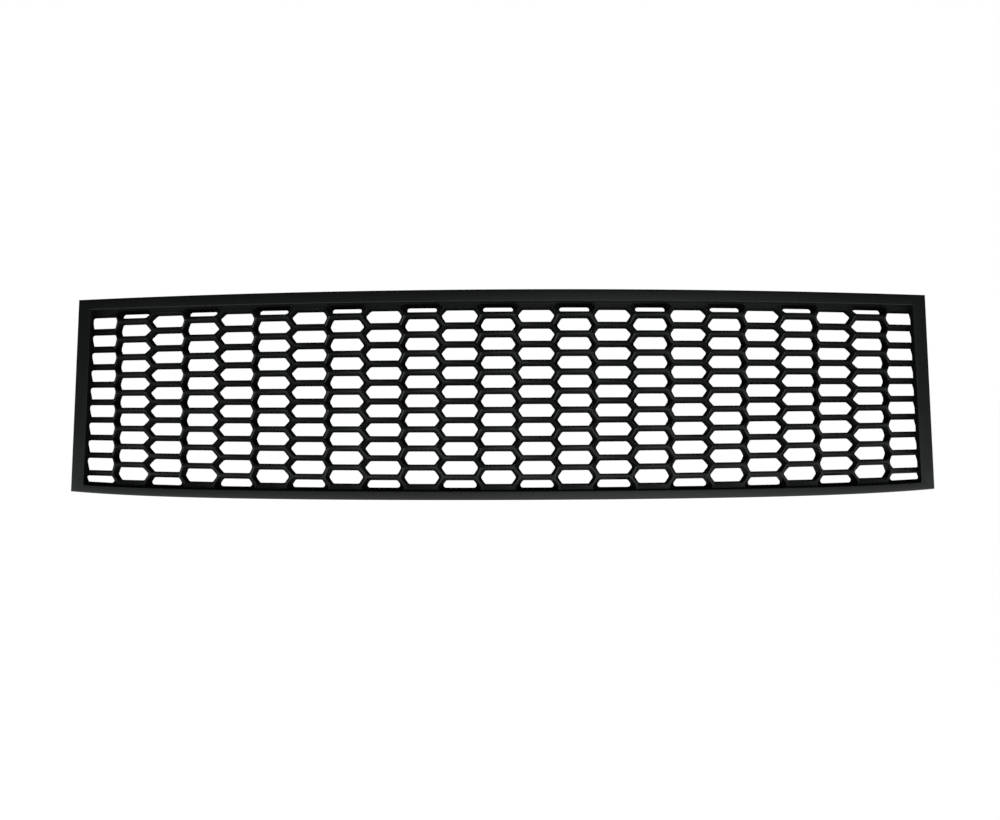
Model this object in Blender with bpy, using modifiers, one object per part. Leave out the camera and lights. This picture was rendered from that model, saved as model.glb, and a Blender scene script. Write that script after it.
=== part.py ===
"""Front grille: a bowed surround frame with a honeycomb insert, its screws, push-in retainers and clip nuts.

Metres, +Z up. X runs across the car, the front faces -Y, the ends sweep back to +Y.
The parts are laid out from the middle of the honeycomb's front face. At the end they are all moved
together so that the world's origin is the middle of the whole grille's box.
"""

import math

import bmesh
import bpy
from mathutils import Matrix, Vector

# the curved face that everything follows
BOW_RADIUS = 1.063  # plan radius of the face
LEAN = 0.0837  # the top leans back this much for each unit of height

# honeycomb lattice
CELL_PITCH = 0.03218  # column to column
ROW_PITCH = 0.0159  # row to row in one column
ROW_COUNT = 10
LAST_COLUMN = 11  # columns run from -11 to 11
HALF_OPENING_ODD = 0.0152  # centre to apex at the back, odd columns
HALF_OPENING_EVEN = 0.0146  # centre to apex at the back, even columns
OPENING_HEIGHT = 0.01095
SLANT = 0.66  # sideways run of an opening's slanted side for each unit of height
ROW_TAPER = 0.137  # rows close up towards the ends by this times x squared
MESH_DEPTH = 0.010
FLANGE_DEPTH = 0.003  # the thin flange outside the honeycomb's own border

# the openings widen towards the front, so that the walls come down to narrow ridges
SIDE_FLARE = 0.0029  # at an apex
UNDERSIDE_FLARE = 0.0016  # under the bar above
TOPSIDE_FLARE = 0.0005  # over the bar below
BORDER_FLARE = 0.0026

# the honeycomb is pleated: the bars of the even columns stand in front of those of the odd ones
PLEAT = 0.0055
BAR_REACH = 0.69  # from a cell's middle to its bars, in half rows
LAST_FORWARD = 9.0  # half rows from the middle beyond which the honeycomb is flat

# outlines: top and bottom height at the middle, how much each closes in at the ends, half width, its lean
OUTER_EDGE = dict(top=0.0847, drop=0.0020, bottom=-0.0898, rise=0.0033, half=0.3752, splay=0.0200)
FACE_EDGE = dict(top=0.0748, drop=0.0012, bottom=-0.0823, rise=0.0020, half=0.3628, splay=0.0200)
LIP_EDGE = dict(top=0.0743, drop=0.0012, bottom=-0.0819, rise=0.0020, half=0.3625, splay=0.0200)
CELL_LIMIT = dict(top=0.0712, drop=0.0012, bottom=-0.0800, rise=0.0022, half=0.3665, splay=0.0200)
LONG_STEPS = 24  # outline segments along the top and the bottom
SHORT_STEPS = 4  # outline segments up each end

# frame section
FRAME_FRONT = -0.010  # the frame's face stands this far in front of the honeycomb
FRAME_REAR = 0.014
FRAME_WALL = 0.0024
EDGE_CHAMFER = 0.0008
SKIN_FRONT = 0.0020  # thickness of the lip's wall behind the face's inner edge
SKIN_LIP = 0.0026  # thickness of the lip's wall at the honeycomb
GAP = 0.0003  # between neighbouring pieces

FLANGE_CLEARANCE = 0.0008  # flange to the inside of the frame's wall
BORDER_WALL = 0.0039  # the honeycomb's border, outside the limit of its cells

# screws that hold the honeycomb's flange on the frame's bosses
SCREW_X = [side * (0.0375 + 0.075 * k) for k in range(5) for side in (-1, 1)]
SCREW_DROP = 0.0062  # below the frame's top edge
BOSS_RADIUS = 0.0031
BOSS_FRONT = -0.0070
PILOT_RADIUS = 0.00165
PILOT_BOTTOM = -0.0066
FLANGE_HOLE_RADIUS = 0.0019
SCREW_RADIUS = 0.0013
SCREW_END = -0.0062
SCREW_HEAD_RADIUS = 0.0028
SCREW_HEAD_HEIGHT = 0.0020

# snap lugs on the inside of the frame's wall
BOTTOM_LUG_X = [side * (0.060 + 0.090 * k) for k in range(4) for side in (-1, 1)]
END_LUG_Z = (-0.042, 0.034)
LUG_LENGTH = 0.014
LUG_REACH = 0.0018
LUG_FRONT = FLANGE_DEPTH + 0.0007
LUG_DEPTH = 0.0024

# top tabs and the push-in retainers in them
TOP_TAB_X = (-0.300, -0.150, 0.0, 0.150, 0.300)
TAB_THICKNESS = 0.0024
TAB_INSET = 0.0004  # tab face below the wall's outer face
TAB_OVERLAP = 0.007  # how far a tab reaches over the wall that carries it
TOP_TAB_WIDTH = 0.026
TOP_TAB_REAR = 0.036
TOP_HOLE_DEPTH = 0.026
TOP_HOLE_RADIUS = 0.0036
TAB_CORNER = 0.008
RIB_OFFSET = 0.0108
RIB_THICKNESS = 0.0014
RIB_HEIGHT = 0.0050
RIB_FRONT = 0.0050
RIB_REAR = 0.030
RIVET_HEAD_RADIUS = 0.0065
RIVET_HEAD_HEIGHT = 0.0016
RIVET_RADIUS = 0.0032
RIVET_TIP_RADIUS = 0.0027
RIVET_REACH = 0.0090  # shank end below the tab's top face
RIVET_BORE = 0.0020
RIVET_RECESS_RADIUS = 0.0034
RIVET_RECESS_DEPTH = 0.0010
PIN_RADIUS = 0.0017
PIN_HEAD_RADIUS = 0.0031
PIN_HEAD_HEIGHT = 0.0007
PIN_REACH = 0.0084

# bottom tabs and the U nuts on them
BOTTOM_TAB_X = (-0.290, -0.110, 0.110, 0.290)
BOTTOM_TAB_WIDTH = 0.022
BOTTOM_TAB_REAR = 0.034
BOTTOM_HOLE_DEPTH = 0.024
BOTTOM_HOLE_RADIUS = 0.0032
BOTTOM_TAB_CORNER = 0.003
CLIP_SHEET = 0.0009
CLIP_WIDTH = 0.012
CLIP_LEG = 0.0060
CLIP_FLARE = 0.0015
CLIP_BORE = 0.0023
COLLAR_RADIUS = 0.0036
COLLAR_HEIGHT = 0.0026

ROUND_STEPS = 12
TINY = 1e-6
SHARP = math.radians(35)
GRILLE = "front_grille"


def clear_scene():
    for obj in list(bpy.data.objects):
        bpy.data.objects.remove(obj)


def collection(name):
    made = bpy.data.collections.new(name)
    bpy.context.scene.collection.children.link(made)
    return made


def material(name, colour, roughness, metallic=0.0):
    made = bpy.data.materials.new(name)
    made.use_nodes = True
    shader = made.node_tree.nodes["Principled BSDF"]
    shader.inputs["Base Color"].default_value = (*colour, 1.0)
    shader.inputs["Roughness"].default_value = roughness
    shader.inputs["Metallic"].default_value = metallic
    return made


# ---- the curved face ----


def face_depth(x, z):
    """How far behind the middle the honeycomb's front face lies."""
    return x * x / (2 * BOW_RADIUS) + LEAN * z


def on_face(x, z, depth):
    return Vector((x, face_depth(x, z) + depth, z))


def face_frame(x, z):
    """Matrix whose local Z goes straight back into the grille from its front face at x, z."""
    back = Vector((-x / BOW_RADIUS, 1.0, -LEAN)).normalized()
    across = Vector((1.0, x / BOW_RADIUS, 0.0)).normalized()
    up = back.cross(across)
    turn = Matrix((across, up, back)).transposed().to_4x4()
    return Matrix.Translation(on_face(x, z, 0.0)) @ turn


def edge_top(edge, x):
    return edge["top"] - edge["drop"] * (x / edge["half"]) ** 2


def edge_bottom(edge, x):
    return edge["bottom"] + edge["rise"] * (x / edge["half"]) ** 6


def edge_side(edge, z):
    return edge["half"] - edge["splay"] * z


def inset(edge, amount):
    """The same outline moved inwards all round, or outwards if the amount is negative."""
    moved = dict(edge)
    moved["top"] -= amount
    moved["bottom"] += amount
    moved["half"] -= amount
    return moved


def outline(edge):
    """Closed loop of x, z points round an outline, from the bottom left corner along the bottom."""
    low_half = edge_side(edge, edge["bottom"] + edge["rise"])
    high_half = edge_side(edge, edge["top"] - edge["drop"])
    along = [2 * i / LONG_STEPS - 1 for i in range(LONG_STEPS + 1)]
    bottom = [(low_half * t, edge_bottom(edge, low_half * t)) for t in along]
    top = [(high_half * t, edge_top(edge, high_half * t)) for t in reversed(along)]
    right = climb(bottom[-1], top[0])
    left = climb(top[-1], bottom[0])
    return bottom + right + top + left


def climb(start, end):
    """The points between two corners, both left out."""
    steps = [i / SHORT_STEPS for i in range(1, SHORT_STEPS)]
    return [(start[0] + (end[0] - start[0]) * t, start[1] + (end[1] - start[1]) * t) for t in steps]


# ---- building blocks ----


def add_object(name, mesh, target, look=None):
    obj = bpy.data.objects.new(name, mesh)
    target.objects.link(obj)
    if look:
        mesh.materials.clear()
        mesh.materials.append(look)
    return obj


def new_mesh(name, bm):
    bmesh.ops.recalc_face_normals(bm, faces=bm.faces)
    mesh = bpy.data.meshes.new(name)
    bm.to_mesh(mesh)
    bm.free()
    return mesh


def smoothed(mesh):
    """Shades a mesh smooth except at its sharp edges."""
    mesh.shade_smooth()
    mesh.set_sharp_from_angle(angle=SHARP)
    return mesh


def evaluated_mesh(obj):
    """The object's mesh with its modifiers or its curve worked out."""
    bpy.context.view_layer.update()
    depsgraph = bpy.context.evaluated_depsgraph_get()
    return bpy.data.meshes.new_from_object(obj.evaluated_get(depsgraph))


def flat_plate(name, loops, low, high, target):
    """A flat plate from closed loops of x, z points: the first is its outline and the others are holes.

    The plate's front and back lie at the depths low and high, along -Z of the mesh.
    """
    curve = bpy.data.curves.new(name, "CURVE")
    curve.dimensions = "2D"
    curve.fill_mode = "BOTH"
    curve.extrude = (high - low) / 2
    for loop in loops:
        spline = curve.splines.new("POLY")
        spline.points.add(len(loop) - 1)
        spline.use_cyclic_u = True
        for point, (x, z) in zip(spline.points, loop):
            point.co = (x, z, 0.0, 1.0)
    source = add_object(name + "_outline", curve, target)
    mesh = evaluated_mesh(source)
    bpy.data.objects.remove(source)
    bm = bmesh.new()
    bm.from_mesh(mesh)
    bmesh.ops.remove_doubles(bm, verts=bm.verts, dist=TINY)
    bmesh.ops.translate(bm, verts=bm.verts, vec=(0.0, 0.0, -(high + low) / 2))
    bm.to_mesh(mesh)
    bm.free()
    return add_object(name, mesh, target)


def block(centre, size):
    """A box as a bmesh."""
    bm = bmesh.new()
    bmesh.ops.create_cube(bm, size=1.0)
    bmesh.ops.scale(bm, verts=bm.verts, vec=size)
    bmesh.ops.translate(bm, verts=bm.verts, vec=centre)
    return bm


def cylinder(radius, low, high):
    """A cylinder along Z as a bmesh."""
    bm = bmesh.new()
    bmesh.ops.create_cone(
        bm, cap_ends=True, segments=ROUND_STEPS, radius1=radius, radius2=radius, depth=high - low
    )
    bmesh.ops.translate(bm, verts=bm.verts, vec=(0.0, 0.0, (high + low) / 2))
    return bm


def turned(name, profile, target, look):
    """A piece turned about Z from radius, height points that run down its outer side and back up its bore."""
    bm = bmesh.new()
    verts = [bm.verts.new((radius, 0.0, height)) for radius, height in profile]
    closed = profile[0][0] > 0.0
    for first, second in zip(verts, verts[1:] + (verts[:1] if closed else [])):
        bm.edges.new((first, second))
    outline_mesh = bpy.data.meshes.new(name + "_profile")
    bm.to_mesh(outline_mesh)
    bm.free()
    source = add_object(name + "_profile", outline_mesh, target)
    spin = source.modifiers.new("turn", "SCREW")
    spin.steps = ROUND_STEPS
    spin.render_steps = ROUND_STEPS
    spin.use_merge_vertices = True
    spin.merge_threshold = 1e-5
    mesh = evaluated_mesh(source)
    bpy.data.objects.remove(source)
    return add_object(name, smoothed(mesh), target, look)


def boolean(obj, tool, operation):
    cut = obj.modifiers.new(operation.lower() + "_" + tool.name, "BOOLEAN")
    cut.operation = operation
    cut.object = tool
    cut.solver = "EXACT"
    tool.hide_render = True
    tool.display_type = "WIRE"
    return cut


def tool_object(name, bm, tools, place=None):
    tool = add_object(name, new_mesh(name, bm), tools)
    if place:
        tool.matrix_world = place
    return tool


def joined(name, shapes, tools):
    """One tool object from several bmeshes, each with its own place."""
    whole = bmesh.new()
    for bm, place in shapes:
        bmesh.ops.transform(bm, matrix=place, verts=bm.verts)
        piece = bpy.data.meshes.new("piece")
        bm.to_mesh(piece)
        bm.free()
        whole.from_mesh(piece)
        bpy.data.meshes.remove(piece)
    return tool_object(name, whole, tools)


# ---- honeycomb ----


def is_odd(column):
    return column % 2 == 1


def squeeze(column):
    """How much the rows of a column close up."""
    return 1.0 - ROW_TAPER * (column * CELL_PITCH) ** 2


def row_middles(column):
    """Heights of a column's cell middles, from the top down, with the cells that the border cuts off."""
    first = 4.0 if is_odd(column) else 4.5
    return [(first - i) * ROW_PITCH * squeeze(column) for i in range(ROW_COUNT)]


def half_opening(column):
    return HALF_OPENING_ODD if is_odd(column) else HALF_OPENING_EVEN


def height_limits(column):
    """Lowest and highest point that a column's openings may reach."""
    centre = column * CELL_PITCH
    return edge_bottom(CELL_LIMIT, centre), edge_top(CELL_LIMIT, centre)


def opening(column, middle):
    """The hexagonal opening of a cell at the back of the honeycomb, cut off at the border."""
    centre = column * CELL_PITCH
    lowest, highest = height_limits(column)
    low = max(middle - OPENING_HEIGHT / 2, lowest)
    high = min(middle + OPENING_HEIGHT / 2, highest)
    heights = [low, middle, high] if low < middle < high else [low, high]
    points = []
    for side in (1, -1):
        for z in heights[::side]:
            x = centre + side * (half_opening(column) - SLANT * abs(z - middle))
            if side * column == LAST_COLUMN:
                x = side * edge_side(CELL_LIMIT, z)
            points.append((x, z))
    return points


def openings():
    columns = range(-LAST_COLUMN, LAST_COLUMN + 1)
    return [opening(column, middle) for column in columns for middle in row_middles(column)]


def cell_at(x, z):
    """Column and middle height of the cell with an opening's corner at x, z, or None on the outlines."""
    column = round(x / CELL_PITCH)
    lowest, highest = height_limits(column)
    if not lowest - TINY <= z <= highest + TINY or abs(x) > edge_side(CELL_LIMIT, z) + TINY:
        return None
    return column, min(row_middles(column), key=lambda middle: abs(z - middle))


def forward_step(cell, z):
    """How far the pleats carry an opening's corner forward."""
    column, middle = cell
    half_row = ROW_PITCH / 2 * squeeze(column)
    share = min(abs(z - middle) / (BAR_REACH * half_row), 1.0)
    if is_odd(column):
        share = 1.0 - share
    fade = (LAST_FORWARD - abs(z) / half_row) / BAR_REACH
    return PLEAT * share * min(max(fade, 0.0), 1.0)


def flared(cell, x, z):
    """The place at the front of an opening's corner that lies at x, z at the back."""
    column, middle = cell
    lowest, highest = height_limits(column)
    if z > highest - TINY:
        z += BORDER_FLARE
    elif z < lowest + TINY:
        z -= BORDER_FLARE
    elif z > middle + TINY:
        z += UNDERSIDE_FLARE
    elif z < middle - TINY:
        z -= TOPSIDE_FLARE
    side = 1 if x > column * CELL_PITCH else -1
    if side * column == LAST_COLUMN:
        return x + side * BORDER_FLARE, z
    reach = half_opening(column) + SIDE_FLARE - SLANT * abs(z - middle)
    return column * CELL_PITCH + side * reach, z


def shape_openings(mesh):
    """Widens the flat plate's openings at its front. Returns each vertex's step forward, for the pleats."""
    steps = []
    for vertex in mesh.vertices:
        x, z, minus_depth = vertex.co
        cell = cell_at(x, z)
        steps.append(forward_step(cell, z) if cell else 0.0)
        if cell and minus_depth > -TINY:
            vertex.co.xy = flared(cell, x, z)
    mesh.update()
    return steps


def even_out(mesh):
    """Swaps long triangles on the plate's flat faces for short ones, so that they can follow the bow.

    Slivers that are missing along a straight edge are filled first.
    """
    bm = bmesh.new()
    bm.from_mesh(mesh)
    bmesh.ops.holes_fill(bm, edges=[edge for edge in bm.edges if edge.is_boundary], sides=3)
    bmesh.ops.triangulate(bm, faces=bm.faces)
    flat = [face for face in bm.faces if abs(face.normal.z) > 0.9]
    edges = {edge for face in flat for edge in face.edges if not edge.is_boundary}
    inner = [edge for edge in edges if edge.calc_face_angle(1.0) < 0.01]
    bmesh.ops.beautify_fill(bm, faces=flat, edges=inner, method="AREA")
    bm.to_mesh(mesh)
    bm.free()


def bend(mesh, steps):
    """Wraps a flat plate's mesh on the curved face and pleats it. Its depth direction follows the lean."""
    for vertex, step in zip(mesh.vertices, steps):
        x, z, minus_depth = vertex.co
        depth = -minus_depth - step
        vertex.co = on_face(x, z, depth) - Vector((0.0, 0.0, LEAN * depth))
    mesh.update()


def make_honeycomb(parts, tools, look):
    flange = inset(OUTER_EDGE, FRAME_WALL + FLANGE_CLEARANCE)
    border = inset(CELL_LIMIT, -BORDER_WALL)
    plate = flat_plate("honeycomb_plate", [outline(flange)] + openings(), 0.0, MESH_DEPTH, tools)
    beyond = outline(inset(flange, -0.010))
    step = flat_plate("flange_step", [beyond, outline(border)], FLANGE_DEPTH, MESH_DEPTH + 0.002, tools)
    boolean(plate, step, "DIFFERENCE")
    mesh = evaluated_mesh(plate)
    bpy.data.objects.remove(plate)
    bpy.data.objects.remove(step)
    steps = shape_openings(mesh)
    even_out(mesh)
    bend(mesh, steps)
    honeycomb = add_object("honeycomb_mesh", mesh, parts, look)
    holes = [
        (cylinder(FLANGE_HOLE_RADIUS, -0.002, FLANGE_DEPTH + 0.002), face_frame(x, screw_height(x)))
        for x in SCREW_X
    ]
    boolean(honeycomb, joined("flange_holes", holes, tools), "DIFFERENCE")
    return honeycomb


# ---- frame ----


def frame_section():
    """The frame's section as outlines and depths, from its outer wall's rear round to the inside."""
    return [
        (OUTER_EDGE, FRAME_REAR),
        (OUTER_EDGE, FRAME_FRONT + EDGE_CHAMFER),
        (inset(OUTER_EDGE, EDGE_CHAMFER), FRAME_FRONT),
        (FACE_EDGE, FRAME_FRONT),
        (LIP_EDGE, -GAP),
        (inset(LIP_EDGE, -SKIN_LIP), -GAP),
        (inset(FACE_EDGE, -SKIN_FRONT), FRAME_FRONT + FRAME_WALL),
        (inset(OUTER_EDGE, FRAME_WALL), FRAME_FRONT + FRAME_WALL),
        (inset(OUTER_EDGE, FRAME_WALL), FRAME_REAR),
    ]


def lofted_frame():
    """The bare frame: its section carried round the four sides."""
    bm = bmesh.new()
    rings = []
    for edge, depth in frame_section():
        rings.append([bm.verts.new(on_face(x, z, depth)) for x, z in outline(edge)])
    for ring, following in zip(rings, rings[1:] + rings[:1]):
        count = len(ring)
        for i in range(count):
            j = (i + 1) % count
            bm.faces.new((ring[i], ring[j], following[j], following[i]))
    return bm


def screw_height(x):
    return edge_top(OUTER_EDGE, x) - SCREW_DROP


def tab(x, z_low, width, depth_rear, corner):
    """A flat tab that reaches back from the frame's rear edge, with rounded rear corners."""
    front = face_depth(x, z_low) + FRAME_REAR - TAB_OVERLAP
    rear = face_depth(x, z_low) + depth_rear
    centre = (x, (front + rear) / 2, z_low + TAB_THICKNESS / 2)
    bm = block(centre, (width, rear - front, TAB_THICKNESS))
    corners = [
        edge
        for edge in bm.edges
        if all(vertex.co.y > centre[1] for vertex in edge.verts)
        and abs(edge.verts[0].co.x - edge.verts[1].co.x) < 1e-6
    ]
    bmesh.ops.bevel(bm, geom=corners, offset=corner, segments=4, profile=0.5, affect="EDGES")
    return bm


def rib(x, z_top, front, rear):
    """A triangular rib under a top tab, tallest at the front."""
    centre = (x, (front + rear) / 2, z_top - RIB_HEIGHT / 2)
    bm = block(centre, (RIB_THICKNESS, rear - front, RIB_HEIGHT))
    for vertex in bm.verts:
        if vertex.co.y > centre[1] and vertex.co.z < centre[2]:
            vertex.co.z = z_top - RIB_HEIGHT / 5
    return bm


def top_tab_low(x):
    return edge_top(OUTER_EDGE, x) - TAB_INSET - TAB_THICKNESS


def bottom_tab_low(x):
    return edge_bottom(OUTER_EDGE, x) + TAB_INSET


def lug(centre_x, centre_z, size):
    """A snap lug that stands on the inside of the frame's wall, behind the honeycomb's flange."""
    bm = block((centre_x, LUG_FRONT + LUG_DEPTH / 2, centre_z), size)
    for vertex in bm.verts:
        x, depth, z = vertex.co
        vertex.co = on_face(x, z, depth)
    return bm


def frame_additions():
    """Everything that is moulded on the bare frame: bosses, tabs with ribs, and snap lugs."""
    still = Matrix.Identity(4)
    shapes = []
    for x in SCREW_X:
        shapes.append((cylinder(BOSS_RADIUS, BOSS_FRONT, -GAP), face_frame(x, screw_height(x))))
    for x in TOP_TAB_X:
        shapes.append((tab(x, top_tab_low(x), TOP_TAB_WIDTH, TOP_TAB_REAR, TAB_CORNER), still))
    for x in BOTTOM_TAB_X:
        low = bottom_tab_low(x)
        shapes.append((tab(x, low, BOTTOM_TAB_WIDTH, BOTTOM_TAB_REAR, BOTTOM_TAB_CORNER), still))
    for x in BOTTOM_LUG_X:
        z = edge_bottom(OUTER_EDGE, x) + FRAME_WALL + LUG_REACH / 2 - TAB_INSET
        shapes.append((lug(x, z, (LUG_LENGTH, LUG_DEPTH, LUG_REACH)), still))
    for side in (-1, 1):
        for z in END_LUG_Z:
            x = side * (edge_side(OUTER_EDGE, z) - FRAME_WALL - LUG_REACH / 2 + TAB_INSET)
            shapes.append((lug(x, z, (LUG_REACH, LUG_DEPTH, LUG_LENGTH)), still))
    return shapes


def rib_shapes():
    still = Matrix.Identity(4)
    shapes = []
    for x in TOP_TAB_X:
        top = top_tab_low(x) + TAB_INSET
        back = face_depth(x, top)
        for side in (-1, 1):
            place = x + side * RIB_OFFSET
            start = face_depth(place, top) + RIB_FRONT
            shapes.append((rib(place, top, start, back + RIB_REAR), still))
    return shapes


def frame_holes():
    shapes = []
    for x in SCREW_X:
        shapes.append((cylinder(PILOT_RADIUS, PILOT_BOTTOM, 0.002), face_frame(x, screw_height(x))))
    for x in TOP_TAB_X:
        place = tab_hole(x, top_tab_low(x), TOP_HOLE_DEPTH)
        shapes.append((cylinder(TOP_HOLE_RADIUS, -0.002, TAB_THICKNESS + 0.002), place))
    for x in BOTTOM_TAB_X:
        place = tab_hole(x, bottom_tab_low(x), BOTTOM_HOLE_DEPTH)
        shapes.append((cylinder(BOTTOM_HOLE_RADIUS, -0.002, TAB_THICKNESS + 0.002), place))
    return shapes


def tab_hole(x, low, depth):
    """The place of a tab's hole, on the tab's lower face."""
    return Matrix.Translation((x, face_depth(x, low) + depth, low))


def make_frame(parts, tools, look):
    frame = add_object("surround_frame", new_mesh("surround_frame", lofted_frame()), parts, look)
    for index, shape in enumerate(frame_additions() + rib_shapes()):
        boolean(frame, joined(f"frame_addition_{index:02d}", [shape], tools), "UNION")
    boolean(frame, joined("frame_holes", frame_holes(), tools), "DIFFERENCE")
    return frame


# ---- fasteners ----


def make_screws(parts, look):
    seat = FLANGE_DEPTH + GAP
    profile = [
        (0.0, seat + SCREW_HEAD_HEIGHT),
        (SCREW_HEAD_RADIUS * 0.7, seat + SCREW_HEAD_HEIGHT),
        (SCREW_HEAD_RADIUS, seat + SCREW_HEAD_HEIGHT * 0.5),
        (SCREW_HEAD_RADIUS, seat),
        (SCREW_RADIUS, seat),
        (SCREW_RADIUS, SCREW_END + SCREW_RADIUS),
        (0.0, SCREW_END),
    ]
    for index, x in enumerate(sorted(SCREW_X), start=1):
        screw = turned(f"mesh_screw_{index:02d}", profile, parts, look)
        screw.matrix_world = face_frame(x, screw_height(x))


def make_rivets(parts, body_look, pin_look):
    head_top = GAP + RIVET_HEAD_HEIGHT
    recess = head_top - RIVET_RECESS_DEPTH
    body = [
        (RIVET_RECESS_RADIUS, head_top),
        (RIVET_HEAD_RADIUS * 0.85, head_top),
        (RIVET_HEAD_RADIUS, GAP + RIVET_HEAD_HEIGHT * 0.4),
        (RIVET_HEAD_RADIUS, GAP),
        (RIVET_RADIUS, GAP),
        (RIVET_RADIUS, -RIVET_REACH * 0.7),
        (RIVET_TIP_RADIUS, -RIVET_REACH),
        (RIVET_BORE, -RIVET_REACH),
        (RIVET_BORE, recess),
        (RIVET_RECESS_RADIUS, recess),
    ]
    pin = [
        (0.0, head_top),
        (PIN_HEAD_RADIUS, head_top),
        (PIN_HEAD_RADIUS, head_top - PIN_HEAD_HEIGHT),
        (PIN_RADIUS, head_top - PIN_HEAD_HEIGHT),
        (PIN_RADIUS, PIN_RADIUS - PIN_REACH),
        (0.0, -PIN_REACH),
    ]
    for index, x in enumerate(TOP_TAB_X, start=1):
        place = tab_hole(x, top_tab_low(x), TOP_HOLE_DEPTH) @ Matrix.Translation((0.0, 0.0, TAB_THICKNESS))
        turned(f"top_rivet_body_{index}", body, parts, body_look).matrix_world = place
        turned(f"top_rivet_pin_{index}", pin, parts, pin_look).matrix_world = place


def clip_path():
    """The middle line of the U nut's sheet as y, z points, from its lower leg to its upper leg."""
    half = TAB_THICKNESS / 2 + GAP + CLIP_SHEET / 2
    nose = BOTTOM_TAB_REAR - BOTTOM_HOLE_DEPTH
    steps = 6
    turn = [math.pi * (i / steps - 0.5) for i in range(steps + 1)]
    arc = [(nose + half * math.cos(a), half * math.sin(a)) for a in turn]
    lead = [(-CLIP_LEG - CLIP_FLARE, -half), (-CLIP_LEG, -half)]
    tail = [(-CLIP_LEG, half), (-CLIP_LEG - CLIP_FLARE, half + CLIP_FLARE / 2)]
    return lead + arc + tail


def clip_mesh():
    bm = bmesh.new()
    rows = []
    for x in (-CLIP_WIDTH / 2, CLIP_WIDTH / 2):
        rows.append([bm.verts.new((x, y, z)) for y, z in clip_path()])
    for i in range(len(rows[0]) - 1):
        bm.faces.new((rows[0][i], rows[0][i + 1], rows[1][i + 1], rows[1][i]))
    return new_mesh("lower_clip_nut", bm)


def make_clip_nuts(parts, tools, look):
    base = TAB_THICKNESS / 2 + GAP
    collar_top = base + CLIP_SHEET + COLLAR_HEIGHT
    collar = tool_object("clip_collar", cylinder(COLLAR_RADIUS, base + CLIP_SHEET / 2, collar_top), tools)
    bore = tool_object("clip_bore", cylinder(CLIP_BORE, -0.010, 0.010), tools)
    pattern = add_object("clip_pattern", clip_mesh(), tools)
    sheet = pattern.modifiers.new("sheet", "SOLIDIFY")
    sheet.thickness = CLIP_SHEET
    sheet.offset = 0.0
    sheet.use_even_offset = True
    boolean(pattern, collar, "UNION")
    boolean(pattern, bore, "DIFFERENCE")
    mesh = smoothed(evaluated_mesh(pattern))
    for tool in (pattern, collar, bore):
        bpy.data.objects.remove(tool)
    for index, x in enumerate(BOTTOM_TAB_X, start=1):
        clip = add_object(f"lower_clip_nut_{index}", mesh, parts, look)
        hole = tab_hole(x, bottom_tab_low(x), BOTTOM_HOLE_DEPTH)
        clip.matrix_world = hole @ Matrix.Translation((0.0, 0.0, TAB_THICKNESS / 2))


# ---- assembly ----


def centre_assembly(parts, tools):
    """Moves every object so that the world's origin is the middle of the parts' common box."""
    bpy.context.view_layer.update()
    depsgraph = bpy.context.evaluated_depsgraph_get()
    corners = []
    for obj in parts.objects:
        solid = obj.evaluated_get(depsgraph)
        corners += [solid.matrix_world @ vertex.co for vertex in solid.data.vertices]
    middle = Vector([(min(c[k] for c in corners) + max(c[k] for c in corners)) / 2 for k in range(3)])
    for obj in list(parts.objects) + list(tools.objects):
        obj.matrix_world = Matrix.Translation(-middle) @ obj.matrix_world


def main():
    clear_scene()
    parts = collection(GRILLE)
    tools = collection(GRILLE + "_tools")
    frame_plastic = material("frame_plastic", (0.012, 0.013, 0.013), 0.45)
    mesh_plastic = material("mesh_plastic", (0.010, 0.011, 0.011), 0.50)
    nylon = material("retainer_nylon", (0.02, 0.02, 0.02), 0.55)
    pin_nylon = material("pin_nylon", (0.03, 0.03, 0.03), 0.50)
    screw_steel = material("screw_steel", (0.10, 0.10, 0.11), 0.35, 1.0)
    spring_steel = material("spring_steel", (0.42, 0.42, 0.40), 0.40, 1.0)
    make_honeycomb(parts, tools, mesh_plastic)
    make_frame(parts, tools, frame_plastic)
    make_screws(parts, screw_steel)
    make_rivets(parts, nylon, pin_nylon)
    make_clip_nuts(parts, tools, spring_steel)
    centre_assembly(parts, tools)


main()
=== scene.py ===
"""Looks of the front grille: its frame, honeycomb and fasteners as fine meshes, with materials and a studio.

Each fine mesh replaces the CAD node that it is named after, on the same body. Lengths are in metres unless a
comment says otherwise, and +Y runs from the front of the grille to its rear.
"""

import math

import bmesh
import bpy
from mathutils import Matrix, Vector


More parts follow.
